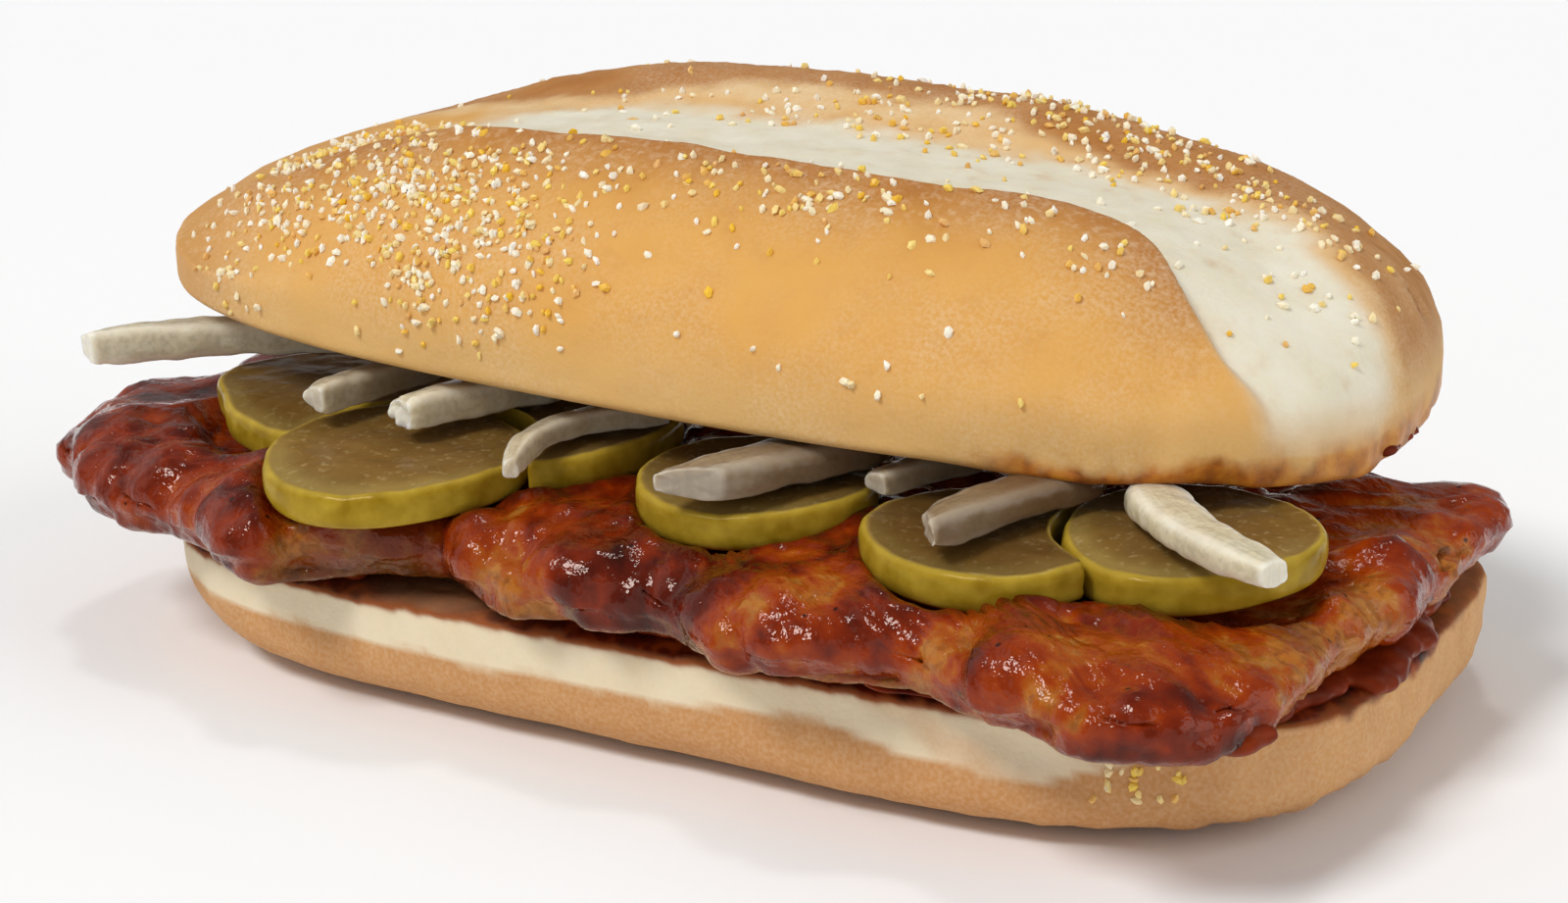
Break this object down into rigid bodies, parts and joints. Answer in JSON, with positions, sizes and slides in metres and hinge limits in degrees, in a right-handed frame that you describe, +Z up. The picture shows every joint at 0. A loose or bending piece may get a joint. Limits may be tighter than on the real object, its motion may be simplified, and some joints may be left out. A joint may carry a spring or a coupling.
{
  "type": "rib sandwich",
  "caption": "Long scored roll cut in two, with a ribbed sauced patty, pickle slices and onion strips between the halves and coarse grits on the crust",
  "frame": {"origin": "middle of the flat underside of the roll's lower half, where the sandwich stands", "axes": "+X along the roll, towards the end where the patty sticks out over the heel, -Y towards the long side where the filling shows, +Z up"},
  "size_m": [0.154, 0.098, 0.0585],
  "materials": {
    "bread": "soft baked bread, pale cut side, browned underneath",
    "crust": "golden brown baked crust with coarse pale grits",
    "sauced_meat": "pressed meat under a thick glossy dark red sauce",
    "pickle": "wet translucent olive flesh with a yellow-green rim",
    "onion": "wet translucent white"
  },
  "bodies": {
    "root": {"heel": "bread", "patty": "sauced_meat", "pickle_1": "pickle", "pickle_2": "pickle", "pickle_3": "pickle", "pickle_4": "pickle", "pickle_5": "pickle", "pickle_6": "pickle", "onion_1": "onion", "onion_2": "onion", "onion_3": "onion", "onion_4": "onion", "onion_5": "onion", "onion_6": "onion", "onion_7": "onion", "onion_8": "onion", "crown": "crust"}
  },
  "joints": []
}
